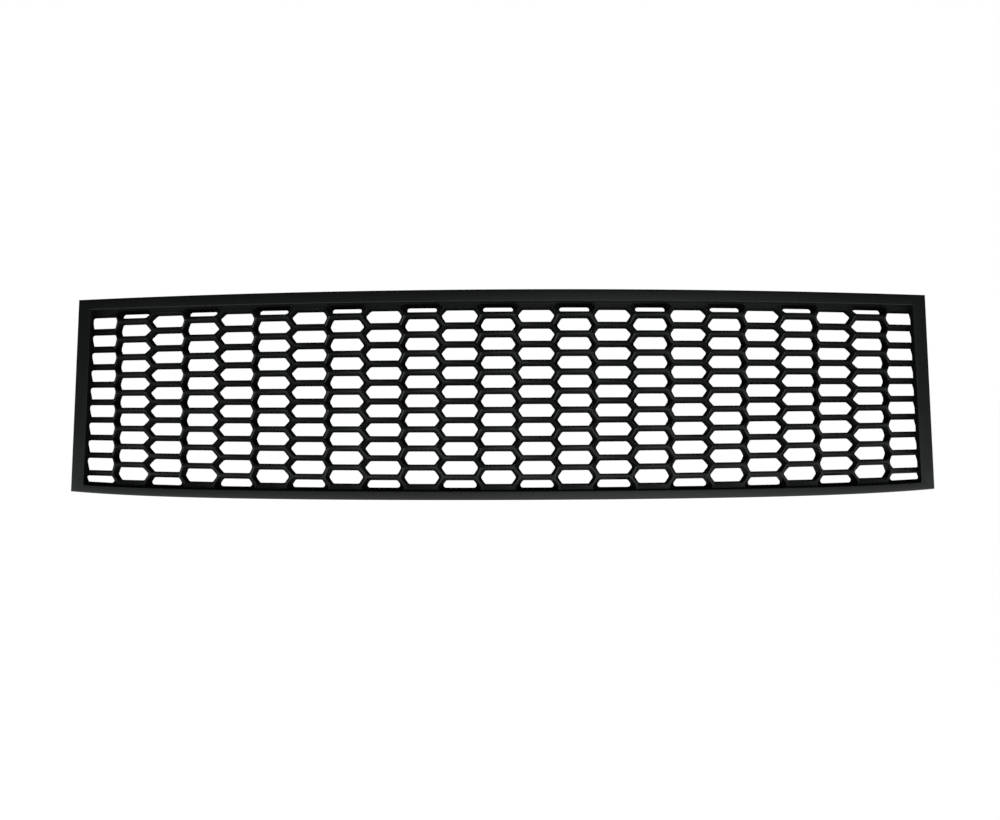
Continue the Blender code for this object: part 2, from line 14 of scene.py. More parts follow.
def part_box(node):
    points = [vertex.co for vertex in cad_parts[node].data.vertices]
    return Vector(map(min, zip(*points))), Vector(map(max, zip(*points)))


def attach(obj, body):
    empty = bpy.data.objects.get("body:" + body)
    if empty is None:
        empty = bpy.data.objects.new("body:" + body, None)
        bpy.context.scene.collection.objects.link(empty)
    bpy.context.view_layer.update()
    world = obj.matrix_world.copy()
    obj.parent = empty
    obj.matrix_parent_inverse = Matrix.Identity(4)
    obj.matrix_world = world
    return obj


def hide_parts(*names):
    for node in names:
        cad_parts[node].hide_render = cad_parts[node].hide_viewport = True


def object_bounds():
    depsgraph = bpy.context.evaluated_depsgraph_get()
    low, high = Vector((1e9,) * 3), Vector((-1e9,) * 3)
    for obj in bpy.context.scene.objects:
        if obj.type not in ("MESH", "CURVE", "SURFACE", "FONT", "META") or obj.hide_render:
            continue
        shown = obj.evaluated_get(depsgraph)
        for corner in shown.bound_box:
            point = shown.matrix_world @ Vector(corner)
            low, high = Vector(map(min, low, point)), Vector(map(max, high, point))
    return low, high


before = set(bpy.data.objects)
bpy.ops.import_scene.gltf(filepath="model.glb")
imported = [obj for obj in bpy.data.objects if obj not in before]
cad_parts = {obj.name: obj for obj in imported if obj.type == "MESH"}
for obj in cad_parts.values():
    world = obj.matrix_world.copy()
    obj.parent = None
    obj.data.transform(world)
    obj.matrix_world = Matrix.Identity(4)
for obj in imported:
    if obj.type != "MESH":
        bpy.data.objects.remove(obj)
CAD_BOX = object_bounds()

ROOT = "grille"  # the body that every fixed piece rides on
MM = 0.001
TINY = 0.001 * MM  # places closer than this are the same
UNMOVED = Matrix.Identity(4)

# the curved face, as in the CAD: its bow in plan, and how far it leans back for each metre of height
BOW_RADIUS = 1.063
LEAN = 0.0837

# honeycomb lattice: columns of cells side by side, with nodes on lines half a row apart, called levels
PITCH = 32.18 * MM
ROW = 15.9 * MM
LAST = 11  # columns run from -11 to 11
TOP_LEVEL = 9
LOW_LEVEL = -10
ODD_HALF = 16.4 * MM  # odd column's centre to the mean line of its zigzag wall
ZIGZAG = 2.75 * MM  # how far the nodes stand either side of that mean line
ROW_TAPER = 0.137  # how the rows close up towards the ends, by the square of x
PLEAT = 5.5 * MM  # how far the even columns' bars stand in front of the odd ones
BAR_REACH = 0.69  # levels from a cell's middle to its bars
LAST_FORWARD = 9.0  # level beyond which the honeycomb is flat
MESH_DEPTH = 10.0 * MM
FLANGE_DEPTH = 3.0 * MM


SPLAY = 0.02  # how fast the half width of every edge grows downwards


def outline(top, drop, bottom, rise, half):
    """An edge that runs right round the grille, seen from the front.

    Top and bottom are its heights at the middle, which drop and rise by the given amounts at the ends. Half
    is its half width at the height of the layout point.
    """
    return {"top": top, "drop": drop, "bottom": bottom, "rise": rise, "half": half}


OUTER_EDGE = outline(84.7 * MM, 2.0 * MM, -89.8 * MM, 3.3 * MM, 375.2 * MM)
FACE_EDGE = outline(74.8 * MM, 1.2 * MM, -82.3 * MM, 2.0 * MM, 362.8 * MM)
LIP_EDGE = outline(74.3 * MM, 1.2 * MM, -81.9 * MM, 2.0 * MM, 362.5 * MM)
BORDER_EDGE = outline(74.1 * MM, 1.2 * MM, -82.9 * MM, 2.2 * MM, 368.1 * MM)
BORDER_WALL = 1.0 * MM  # from the middle of the honeycomb's border wall to its outside
FLANGE_INSET = 3.2 * MM  # flange edge inside the frame's outer edge

# frame section: depths are behind the honeycomb's front face
FRONT = -10.0 * MM
REAR = 14.0 * MM
WALL = 2.4 * MM
GAP = 0.3 * MM
EDGE_RADIUS = 1.1 * MM
INNER_RADIUS = 0.7 * MM
LIP_THICKNESS = 2.6 * MM  # at the lip's rear end
LIP_ROOT = 2.0 * MM  # where the lip meets the face, inside

# screw bosses in a row along the top
SCREW_PITCH = 75.0 * MM
SCREW_X = [(k - 4.5) * SCREW_PITCH for k in range(10)]
SCREW_DROP = 6.2 * MM
BOSS_RADIUS = 3.1 * MM
BOSS_FRONT = -7.0 * MM
PILOT_RADIUS = 1.65 * MM
PILOT_FRONT = -6.6 * MM
PILOT_REAR = 2.0 * MM  # clear of the boss's rear end

# rear tabs
TAB = 2.4 * MM
TAB_INSET = 0.4 * MM
TAB_OVERLAP = 7.0 * MM  # how far a tab runs forwards on the wall that carries it
TOP_TABS = {
    "high": True,
    "places": (-0.300, -0.150, 0.0, 0.150, 0.300),
    "width": 26.0 * MM,
    "rear": 36.0 * MM,
    "corner": 8.0 * MM,
    "hole_depth": 26.0 * MM,
    "hole_radius": 3.6 * MM,
}
BOTTOM_TABS = {
    "high": False,
    "places": (-0.290, -0.110, 0.110, 0.290),
    "width": 22.0 * MM,
    "rear": 34.0 * MM,
    "corner": 3.0 * MM,
    "hole_depth": 24.0 * MM,
    "hole_radius": 3.2 * MM,
}
HOLE_SPAN = (-2.0 * MM, 5.0 * MM)  # from below a tab to above it
RIB_OFFSET = 10.8 * MM  # from the tab's middle
RIB_THICKNESS = 1.4 * MM
RIB_HEIGHT = 5.0 * MM
RIB_TIP = 1.0 * MM  # its height at the rear
RIB_FRONT = 5.0 * MM
RIB_REAR = 30.0 * MM

# snap lugs behind the honeycomb's flange, on the outer wall's inside
LUG_PITCH = 90.0 * MM
BOTTOM_LUG_X = [side * (60.0 * MM + LUG_PITCH * k) for k in range(4) for side in (-1, 1)]
END_LUG_Z = (-42.0 * MM, 34.0 * MM)
LUG_FRONT = 3.7 * MM
LUG_LENGTH = 14.0 * MM
LUG_THICKNESS = 2.4 * MM
LUG_REACH = 1.8 * MM
LUG_SLOPE = 0.6  # share of its reach that a lug loses towards the rear
LUG_ROOT = 0.4 * MM  # how far it runs into the wall

# the CAD's layout point, the middle of the honeycomb's front face, found from the frame's box
FRAME_LOW, FRAME_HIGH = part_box("surround_frame")
CAD_CHAMFER = 0.8 * MM  # on the CAD frame's front edges
ORIGIN = Vector(
    (
        0.0,
        FRAME_LOW[1] - FRONT - LEAN * (OUTER_EDGE["bottom"] + CAD_CHAMFER),
        FRAME_HIGH[2] - OUTER_EDGE["top"],
    )
)


# ---- the curved face ----


def face_depth(x, z):
    return x * x / (2 * BOW_RADIUS) + LEAN * z


def on_face(x, z, depth):
    """World point at x, z and a depth straight behind the honeycomb's front face."""
    return ORIGIN + Vector((x, face_depth(x, z) + depth, z))


def in_mesh(x, z, depth):
    """World point in the honeycomb, whose walls run square to the leaning face."""
    return on_face(x, z, depth) - Vector((0.0, 0.0, LEAN * depth))


def face_frame(x, z):
    """Matrix whose local Z goes straight back into the grille from its front face at x, z."""
    back = Vector((-x / BOW_RADIUS, 1.0, -LEAN)).normalized()
    across = Vector((1.0, x / BOW_RADIUS, 0.0)).normalized()
    turn = Matrix((across, back.cross(across), back)).transposed().to_4x4()
    return Matrix.Translation(on_face(x, z, 0.0)) @ turn


def squeeze(x):
    """Height of the rows at x, as a share of their height at the middle."""
    return 1.0 - ROW_TAPER * x * x


def edge_top(edge, x):
    """Height of an outline's upper edge, an even curve."""
    return edge["top"] - edge["drop"] * (x / edge["half"]) ** 2


def edge_bottom(edge, x):
    """Height of an outline's lower edge, which is straight apart from the ends."""
    return edge["bottom"] + edge["rise"] * (x / edge["half"]) ** 6


def edge_side(edge, z):
    return edge["half"] - SPLAY * z


def inset(edge, amount):
    """The outline moved in by an amount on all sides."""
    top, bottom, half = edge["top"] - amount, edge["bottom"] + amount, edge["half"] - amount
    return {**edge, "top": top, "bottom": bottom, "half": half}


def corner_half(edge, high):
    """Half width of an outline at its upper or lower corners."""
    return edge_side(edge, edge["top"] - edge["drop"] if high else edge["bottom"] + edge["rise"])


def edge_point(edge, side, t):
    """A point on an outline: side is bottom, right, top or left, and t runs from -1 to 1 along +X or +Z."""
    low, high = edge["bottom"] + edge["rise"], edge["top"] - edge["drop"]
    if side == "bottom":
        x = t * corner_half(edge, False)
        return x, edge_bottom(edge, x)
    if side == "top":
        x = t * corner_half(edge, True)
        return x, edge_top(edge, x)
    z = low + (high - low) * (t + 1) / 2
    reach = edge_side(edge, z)
    return (reach if side == "right" else -reach), z


# ---- mesh helpers ----


def finish_piece(name, bm, body, look, node_name, sharp_angle=30.0):
    """Turns a bmesh into a piece on a body, smooth between its sharp edges, that stands for a CAD node."""
    bmesh.ops.remove_doubles(bm, verts=bm.verts, dist=TINY)
    bmesh.ops.recalc_face_normals(bm, faces=bm.faces)
    mesh = bpy.data.meshes.new(name)
    bm.to_mesh(mesh)
    bm.free()
    mesh.shade_smooth()
    mesh.set_sharp_from_angle(angle=math.radians(sharp_angle))
    mesh.materials.append(look)
    piece = bpy.data.objects.new(name, mesh)
    bpy.context.scene.collection.objects.link(piece)
    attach(piece, body)
    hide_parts(node_name)


def add_ring_faces(bm, first, second):
    count = len(first)
    for i in range(count):
        j = (i + 1) % count
        bm.faces.new((first[i], first[j], second[j], second[i]))


def boolean_bmesh(base, tool, operation):
    """base combined with tool, both bmeshes, as a new bmesh."""
    objects = []
    for name, bm in (("boolean_base", base), ("boolean_tool", tool)):
        bmesh.ops.recalc_face_normals(bm, faces=bm.faces)
        mesh = bpy.data.meshes.new(name)
        bm.to_mesh(mesh)
        bm.free()
        obj = bpy.data.objects.new(name, mesh)
        bpy.context.scene.collection.objects.link(obj)
        objects.append(obj)
    modifier = objects[0].modifiers.new("combine", "BOOLEAN")
    modifier.operation = operation
    modifier.object = objects[1]
    modifier.solver = "EXACT"
    bpy.context.view_layer.update()
    evaluated = objects[0].evaluated_get(bpy.context.evaluated_depsgraph_get())
    mesh = bpy.data.meshes.new_from_object(evaluated)
    result = bmesh.new()
    result.from_mesh(mesh)
    bpy.data.meshes.remove(mesh)
    for obj in objects:
        data = obj.data
        bpy.data.objects.remove(obj)
        bpy.data.meshes.remove(data)
    return result


def gather(shapes):
    """One bmesh from several, each with the matrix that places it."""
    whole = bmesh.new()
    for bm, place in shapes:
        bmesh.ops.transform(bm, matrix=place, verts=bm.verts)
        mesh = bpy.data.meshes.new("shape")
        bm.to_mesh(mesh)
        bm.free()
        whole.from_mesh(mesh)
        bpy.data.meshes.remove(mesh)
    return whole


def cylinder(radius, low, high, segments=32):
    bm = bmesh.new()
    bmesh.ops.create_cone(
        bm, cap_ends=True, segments=segments, radius1=radius, radius2=radius, depth=high - low
    )
    bmesh.ops.translate(bm, verts=bm.verts, vec=(0.0, 0.0, (low + high) / 2))
    return bm


def block(centre, size):
    bm = bmesh.new()
    bmesh.ops.create_cube(bm, size=1.0)
    bmesh.ops.scale(bm, verts=bm.verts, vec=size)
    bmesh.ops.translate(bm, verts=bm.verts, vec=centre)
    return bm


def round_edges(bm, edges, width, segments):
    bmesh.ops.bevel(bm, geom=edges, offset=width, segments=segments, profile=0.5, affect="EDGES")
    return bm


def circle(radius, height, segments):
    """Points round a level circle about Z."""
    angles = [2 * math.pi * i / segments for i in range(segments)]
    return [(radius * math.cos(angle), radius * math.sin(angle), height) for angle in angles]


def turned(profile, segments):
    """A closed solid turned about Z from radius, height points in millimetres.

    The profile either starts and ends on the axis or runs right round a hollow section.
    """
    bm = bmesh.new()
    rings = []
    for radius, height in profile:
        points = circle(radius * MM, height * MM, segments) if radius else [(0.0, 0.0, height * MM)]
        rings.append([bm.verts.new(point) for point in points])
    pairs = list(zip(rings, rings[1:]))
    if len(rings[0]) > 1:
        pairs.append((rings[-1], rings[0]))
    for first, second in pairs:
        if len(first) == 1 or len(second) == 1:
            tip, ring = (first[0], second) if len(first) == 1 else (second[0], first)
            for i in range(segments):
                bm.faces.new((tip, ring[i], ring[(i + 1) % segments]))
        else:
            add_ring_faces(bm, first, second)
    return bm


def round_path(bottom, climb, top):
    """Places right round an outline, counter-clockwise from its bottom left corner, as side and t."""
    path = [("bottom", t) for t in bottom] + [("right", t) for t in climb]
    return path + [("top", t) for t in reversed(top)] + [("left", t) for t in reversed(climb)]


def add_swept_rings(bm, section, path, place):
    """Joins the outlines of a section, each at its own depth, with faces along a path round them."""
    rings = []
    for edge, depth in section:
        points = [edge_point(edge, side, t) for side, t in path]
        rings.append([bm.verts.new(place(x, z, depth)) for x, z in points])
    for first, second in zip(rings, rings[1:]):
        add_ring_faces(bm, first, second)
    return rings


# ---- honeycomb ----

# the wall of an opening from front to back, in millimetres: depth, how far each kind of wall stands in from
# its middle line, and the corner radius
WALL_KINDS = ("zigzag", "underside", "topside", "border", "end")
WALL_RINGS = [
    (0.0, (0.85, 0.80, 1.55, 0.15, 0.50), 2.6),
    (0.5, (1.20, 1.15, 2.20, 0.40, 0.90), 2.3),
    (1.4, (1.45, 1.40, 2.45, 0.75, 1.00), 2.2),
    (4.0, (2.10, 1.85, 2.50, 1.60, 1.20), 2.2),
    (8.0, (3.10, 2.45, 2.50, 2.90, 1.60), 2.1),
    (9.7, (3.10, 2.45, 2.50, 2.90, 1.60), 2.1),
    (10.0, (2.80, 2.15, 2.20, 2.60, 1.30), 2.2),
]
CORNER_STEPS = 4
BORDER_ROUNDING = 0.35 * MM
MERGE_DISTANCE = 2 * TINY  # for neighbouring cells' points, which are worked out apart


def node(boundary, level):
    """A node of the zigzag wall right of column boundary, in lattice x, z."""
    left_is_odd = boundary % 2 == 1
    out = ZIGZAG if level % 2 == 0 else -ZIGZAG
    if left_is_odd:
        x = boundary * PITCH + ODD_HALF + out
    else:
        x = (boundary + 1) * PITCH - ODD_HALF - out
    return x, level * ROW / 2


def border_point(x, high):
    """The border's middle line above or below x, in lattice coordinates."""
    z = edge_top(BORDER_EDGE, x) if high else edge_bottom(BORDER_EDGE, x)
    return x, z / squeeze(x)


def end_height(level):
    """Height of a level at the honeycomb's ends."""
    return level * ROW / 2 * squeeze(LIP_EDGE["half"])


def side_point(side, level):
    """The border's middle line at one end, at a level, in lattice coordinates."""
    return side * edge_side(BORDER_EDGE, end_height(level)), level * ROW / 2


def border_corner(side, high):
    return border_point(side * corner_half(BORDER_EDGE, high), high)


def wall_beside(column, side):
    """The boundary on one side of a column."""
    return column if side > 0 else column - 1


def cell_side(column, side, levels):
    """The points up one side of a cell, with the border's points where the cell reaches the border."""
    if side * column == LAST:
        points = [side_point(side, level) for level in levels if (level - column) % 2 == 0]
        lowest, highest = border_corner(side, False), border_corner(side, True)
    else:
        points = [node(wall_beside(column, side), level) for level in levels]
        lowest, highest = border_point(points[0][0], False), border_point(points[-1][0], True)
    if levels[0] == LOW_LEVEL:
        points.insert(0, lowest)
    if levels[-1] == TOP_LEVEL:
        points.append(highest)
    return points


def cell_outline(column, level):
    """The middle line of the walls round a cell, counter-clockwise, shared with its neighbours."""
    levels = [k for k in (level - 1, level, level + 1) if LOW_LEVEL <= k <= TOP_LEVEL]
    return cell_side(column, 1, levels) + cell_side(column, -1, levels)[::-1]


def cell_walls(column, level):
    """The straight walls round a cell, counter-clockwise, as start, end and kind."""
    low, high = level - 1, level + 1
    cut_low, cut_high = low < LOW_LEVEL, high > TOP_LEVEL
    sides = {}
    for side in (1, -1):
        boundary = wall_beside(column, side)
        if side * column == LAST:
            start = border_corner(side, False) if cut_low else side_point(side, low)
            end = border_corner(side, True) if cut_high else side_point(side, high)
            sides[side] = [(start, end, "end")]
            continue
        sides[side] = []
        if not cut_low:
            sides[side].append((node(boundary, low), node(boundary, level), "zigzag"))
        if not cut_high:
            sides[side].append((node(boundary, level), node(boundary, high), "zigzag"))
    right = sides[1]
    left = [(end, start, kind) for start, end, kind in reversed(sides[-1])]
    right_x, left_x = right[-1][1][0], left[0][0][0]
    if cut_high:
        top = (border_point(right_x, True), border_point(left_x, True), "border")
    else:
        top = (right[-1][1], left[0][0], "underside")
    right_x, left_x = right[0][0][0], left[-1][1][0]
    if cut_low:
        bottom = (border_point(left_x, False), border_point(right_x, False), "border")
    else:
        bottom = (left[-1][1], right[0][0], "topside")
    return right + [top] + left + [bottom]


def opening_ring(walls, half, radius):
    """An opening's outline at one depth: each wall moved in by its half thickness, with filleted corners."""
    lines = []
    for start, end, kind in walls:
        along = (Vector(end) - Vector(start)).normalized()
        inward = Vector((-along.y, along.x))
        lines.append((Vector(start) + inward * half[kind], along, inward))
    points = []
    for i, (base, along, inward) in enumerate(lines):
        next_base, next_along, _ = lines[(i + 1) % len(lines)]
        turn = math.atan2(along.cross(next_along), along.dot(next_along))
        reach = (next_base - base).cross(next_along) / along.cross(next_along)
        corner = base + along * reach
        centre = corner - along * (radius * math.tan(turn / 2)) + inward * radius
        for step in range(CORNER_STEPS + 1):
            swing = turn * step / CORNER_STEPS
            spoke = -inward * math.cos(swing) + along * math.sin(swing)
            points.append(tuple(centre + spoke * radius))
    return points


def pleat(column, level, x, z):
    """How far a place in a cell, in lattice x and z, stands in front of the odd columns' bars."""
    if abs(x) > LAST * PITCH:
        return 0.0
    height = z / (ROW / 2)
    share = min(abs(height - level) / BAR_REACH, 1.0)
    if column % 2 == 1:
        share = 1.0 - share
    fade = (LAST_FORWARD - abs(height)) / BAR_REACH
    return PLEAT * share * min(max(fade, 0.0), 1.0)


def cell_place(column, level, x, z, depth):
    """World point of a place in a cell, from lattice x, z and depth behind the pleated front."""
    return in_mesh(x, z * squeeze(x), depth - pleat(column, level, x, z))


def stitch(bm, outer, inner, centre):
    """Fills the band between two loops of x, z and vertex that both run counter-clockwise round a centre."""

    def angle_of(item):
        return item[0]

    def by_angle(loop, which):
        items = [(math.atan2(z - centre[1], x - centre[0]), which, vertex) for x, z, vertex in loop]
        return sorted(items, key=angle_of)

    rim, hole = by_angle(outer, 0), by_angle(inner, 1)
    current = [rim[-1][2], hole[-1][2]]
    for _, which, vertex in sorted(rim + hole, key=angle_of):
        bm.faces.new((current[0], current[1], vertex))
        current[which] = vertex


def add_cell(bm, column, level):
    """One opening, with its share of the walls round it from their middle lines inwards."""
    corners = cell_outline(column, level)
    walls = cell_walls(column, level)
    count = len(corners)
    centre = (sum(x for x, _ in corners) / count, sum(z for _, z in corners) / count)

    def placed(points, depth):
        return [(x, z, bm.verts.new(cell_place(column, level, x, z, depth))) for x, z in points]

    rims = [placed(corners, depth) for depth in (0.0, MESH_DEPTH)]
    rings = []
    for depth, half_widths, radius in WALL_RINGS:
        half = {kind: half_width * MM for kind, half_width in zip(WALL_KINDS, half_widths)}
        rings.append(placed(opening_ring(walls, half, radius * MM), depth * MM))
    stitch(bm, rims[0], rings[0], centre)
    stitch(bm, rims[1], rings[-1], centre)
    for first, second in zip(rings, rings[1:]):
        add_ring_faces(bm, [v for _, _, v in first], [v for _, _, v in second])


def along_border(level, high):
    """Where a level's nodes and the two corners lie along the border, from -1 to 1."""
    half = corner_half(BORDER_EDGE, high)
    return [-1.0] + [node(boundary, level)[0] / half for boundary in range(-LAST, LAST)] + [1.0]


def up_border():
    """Where the honeycomb's bars meet the ends of the border, from -1 to 1."""
    low, high = BORDER_EDGE["bottom"] + BORDER_EDGE["rise"], BORDER_EDGE["top"] - BORDER_EDGE["drop"]
    heights = [end_height(level) for level in range(LOW_LEVEL + 1, TOP_LEVEL + 1, 2)]
    return [2 * (z - low) / (high - low) - 1 for z in heights]


def add_border(bm):
    """The flange and the outside of the border wall, from the border's middle line in front to it behind."""
    flange = inset(OUTER_EDGE, FLANGE_INSET)
    outside = inset(BORDER_EDGE, -BORDER_WALL)
    soft = BORDER_ROUNDING
    section = [
        (BORDER_EDGE, 0.0),
        (inset(flange, soft), 0.0),
        (flange, soft),
        (flange, FLANGE_DEPTH - soft),
        (inset(flange, soft), FLANGE_DEPTH),
        (inset(outside, -soft), FLANGE_DEPTH),
        (outside, FLANGE_DEPTH + soft),
        (outside, MESH_DEPTH - soft),
        (inset(outside, soft), MESH_DEPTH),
        (BORDER_EDGE, MESH_DEPTH),
    ]
    path = round_path(along_border(LOW_LEVEL, False), up_border(), along_border(TOP_LEVEL, True))
    add_swept_rings(bm, section, path, in_mesh)


def make_honeycomb(look):
    bm = bmesh.new()
    for column in range(-LAST, LAST + 1):
        top = TOP_LEVEL - 1 if column % 2 == 1 else TOP_LEVEL
        for level in range(top, LOW_LEVEL - 1, -2):
            add_cell(bm, column, level)
    add_border(bm)
    bmesh.ops.remove_doubles(bm, verts=bm.verts, dist=MERGE_DISTANCE)
    finish_piece("honeycomb_insert", bm, ROOT, look, "honeycomb_mesh", sharp_angle=40.0)


# ---- frame ----

LONG_STEPS = 72
SHORT_STEPS = 10
ROUND_STEPS = 5
CORNER_SEGMENTS = 8
HOLE_SEGMENTS = 48
FRAME_ROUNDING = 0.3 * MM


def frame_section():
    """Outlines and depths from the outer wall's rear over the face and the lip, and back inside."""
    soft = FRAME_ROUNDING
    section = [(inset(OUTER_EDGE, soft), REAR), (OUTER_EDGE, REAR - soft)]
    turns = [math.radians(90 * step / ROUND_STEPS) for step in range(ROUND_STEPS + 1)]
    for angle in turns:
        edge = inset(OUTER_EDGE, EDGE_RADIUS * (1 - math.cos(angle)))
        section.append((edge, FRONT + EDGE_RADIUS * (1 - math.sin(angle))))
    for angle in turns:
        edge = inset(FACE_EDGE, -INNER_RADIUS * (1 - math.sin(angle)))
        section.append((edge, FRONT + INNER_RADIUS * (1 - math.cos(angle))))
    return section + [
        (LIP_EDGE, -GAP - soft),
        (inset(LIP_EDGE, -soft), -GAP),
        (inset(LIP_EDGE, -LIP_THICKNESS), -GAP),
        (inset(FACE_EDGE, -LIP_ROOT), FRONT + WALL),
        (inset(OUTER_EDGE, WALL), FRONT + WALL),
        (inset(OUTER_EDGE, WALL), REAR - soft),
        (inset(OUTER_EDGE, WALL - soft), REAR),
    ]


def bare_frame():
    bm = bmesh.new()
    along = [2 * i / LONG_STEPS - 1 for i in range(LONG_STEPS + 1)]
    climb = [2 * i / SHORT_STEPS - 1 for i in range(1, SHORT_STEPS)]
    rings = add_swept_rings(bm, frame_section(), round_path(along, climb, along), on_face)
    add_ring_faces(bm, rings[-1], rings[0])
    return bm


def screw_place(x):
    return face_frame(x, edge_top(OUTER_EDGE, x) - SCREW_DROP)


def tab_low(x, tabs):
    """Height of a rear tab's lower face."""
    if tabs["high"]:
        return edge_top(OUTER_EDGE, x) - TAB_INSET - TAB
    return edge_bottom(OUTER_EDGE, x) + TAB_INSET


def tab_place(x, tabs):
    """World place of a tab's hole, on the tab's lower face."""
    return Matrix.Translation(on_face(x, tab_low(x, tabs), tabs["hole_depth"]))


def tab(x, tabs):
    """A flat rear tab with rounded rear corners and softened edges, over the wall that carries it."""
    start = on_face(x, tab_low(x, tabs), REAR - TAB_OVERLAP)
    length = tabs["rear"] - REAR + TAB_OVERLAP
    middle = start.y + length / 2
    bm = block((x, middle, start.z + TAB / 2), (tabs["width"], length, TAB))

    def is_square_to(edge, axis):
        first, second = (vertex.co[axis] for vertex in edge.verts)
        return abs(first - second) < TINY

    rear_edges = [edge for edge in bm.edges if all(vertex.co.y > middle for vertex in edge.verts)]
    corners = [edge for edge in rear_edges if is_square_to(edge, 0)]
    round_edges(bm, corners, tabs["corner"], CORNER_SEGMENTS)
    rims = [edge for edge in bm.edges if is_square_to(edge, 2)]
    return round_edges(bm, rims, FRAME_ROUNDING, 2)


def rib(x, tab_x):
    """A triangular rib under a top tab."""
    low = tab_low(tab_x, TOP_TABS)
    top = ORIGIN.z + low + TAB_INSET
    start, end = on_face(x, low, RIB_FRONT).y, on_face(tab_x, low, RIB_REAR).y
    bm = block((x, (start + end) / 2, top - RIB_HEIGHT / 2), (RIB_THICKNESS, end - start, RIB_HEIGHT))
    for vertex in bm.verts:
        if vertex.co.y > (start + end) / 2 and vertex.co.z < top - RIB_HEIGHT / 2:
            vertex.co.z = top - RIB_TIP
    return bm


def lug(x, z, upright):
    """A snap lug behind the honeycomb's flange, whose inner side slopes back to the wall that carries it."""
    width, height = (LUG_REACH, LUG_LENGTH) if upright else (LUG_LENGTH, LUG_REACH)
    middle = LUG_FRONT + LUG_THICKNESS / 2
    bm = block((x, middle, z), (width, LUG_THICKNESS, height))
    for vertex in bm.verts:
        vertex_x, depth, vertex_z = vertex.co
        if depth > middle and upright and abs(vertex_x) < abs(x):
            vertex_x += math.copysign(LUG_SLOPE * LUG_REACH, x)
        if depth > middle and not upright and vertex_z > z:
            vertex_z -= LUG_SLOPE * LUG_REACH
        vertex.co = on_face(vertex_x, vertex_z, depth)
    return bm


def frame_solids():
    """Bosses, tabs and lugs, and then the ribs, as two groups whose members stand clear of each other."""
    solids = [(cylinder(BOSS_RADIUS, BOSS_FRONT, -GAP), screw_place(x)) for x in SCREW_X]
    solids += [(tab(x, tabs), UNMOVED) for tabs in (TOP_TABS, BOTTOM_TABS) for x in tabs["places"]]
    lug_middle = WALL - LUG_ROOT + LUG_REACH / 2
    for x in BOTTOM_LUG_X:
        solids.append((lug(x, edge_bottom(OUTER_EDGE, x) + lug_middle, False), UNMOVED))
    for side in (-1, 1):
        for z in END_LUG_Z:
            solids.append((lug(side * (edge_side(OUTER_EDGE, z) - lug_middle), z, True), UNMOVED))
    ribs = [(rib(x + side * RIB_OFFSET, x), UNMOVED) for x in TOP_TABS["places"] for side in (-1, 1)]
    return solids, ribs


def frame_holes():
    holes = [(cylinder(PILOT_RADIUS, PILOT_FRONT, PILOT_REAR), screw_place(x)) for x in SCREW_X]
    for tabs in (TOP_TABS, BOTTOM_TABS):
        for x in tabs["places"]:
            hole = cylinder(tabs["hole_radius"], *HOLE_SPAN, HOLE_SEGMENTS)
            holes.append((hole, tab_place(x, tabs)))
    return holes


def make_frame(look):
    solids, ribs = frame_solids()
    bm = boolean_bmesh(bare_frame(), gather(solids), "UNION")
    bm = boolean_bmesh(bm, gather(ribs), "UNION")
    bm = boolean_bmesh(bm, gather(frame_holes()), "DIFFERENCE")
    finish_piece("surround_frame_shell", bm, ROOT, look, "surround_frame", sharp_angle=32.0)


# ---- fasteners ----

THREAD_ROWS = 6  # rings in one turn of a thread
THREAD_SHARE = 0.3  # half the width of a thread's ridge, as a share of its pitch

# screws, with depths behind the honeycomb's front face
SCREW_THREAD = (1.1 * MM, 1.5 * MM, 1.1 * MM)  # radii of the root and the crest, and the pitch
SCREW_SEAT = FLANGE_DEPTH + GAP  # the head's underside
SCREW_CROWN = SCREW_SEAT + 2.0 * MM
SCREW_POINT = -6.2 * MM
THREAD_FRONT = -5.2 * MM
THREAD_REAR = SCREW_SEAT - 0.4 * MM
SCREW_SEGMENTS = 24
SCREW_SPIN = 37.0  # degrees that each screw is turned from the one before it
RECESS_LENGTH = 3.0 * MM
RECESS_WIDTH = 0.7 * MM
RECESS_DEPTH = 1.2 * MM
RECESS_TAPER = 0.6  # its size at the bottom, as a share of its size at the crown

# push-in retainers, with heights above the tab
LEG_SLOT = {"centre": (0.0, 0.0, -7.0 * MM), "size": (9.0 * MM, 0.9 * MM, 8.4 * MM)}
PRY_SLOT = {"centre": (0.0, 0.0, 1.95 * MM), "size": (4.2 * MM, 0.8 * MM, 0.8 * MM)}
BODY_SEGMENTS = 48
PIN_SEGMENTS = 40
RETAINER_SPIN = 23.0  # degrees that each retainer is turned from the one before it

# U nuts
NUT_THREAD = (2.2 * MM, 2.45 * MM, 1.0 * MM)  # radii of the root and the crest, and the pitch
SHEET = 0.9 * MM
SHEET_ROUNDING = 0.12 * MM
CLIP_INSIDE = TAB / 2 + GAP  # from the tab's middle plane to either leg
CLIP_WIDTH = 12.0 * MM
CLIP_LEG = 6.0 * MM  # from the hole forwards to where the upper leg starts to turn up
CLIP_NOSE = 10.0 * MM  # from the hole back to the middle of the fold
CLIP_FOLD_STEPS = 16
LEAD_IN = [(0.8 * MM, 0.25 * MM), (1.5 * MM, 0.75 * MM)]  # how far that leg then runs on, and turns up
COLLAR_SEGMENTS = 40
BORE_SEGMENTS = 32
BORE_SPAN = (CLIP_INSIDE - 0.5 * MM, CLIP_INSIDE + 4.5 * MM)
LOWER_HOLE_RADIUS = 2.6 * MM
LOWER_HOLE_REACH = CLIP_INSIDE + 2.0 * MM


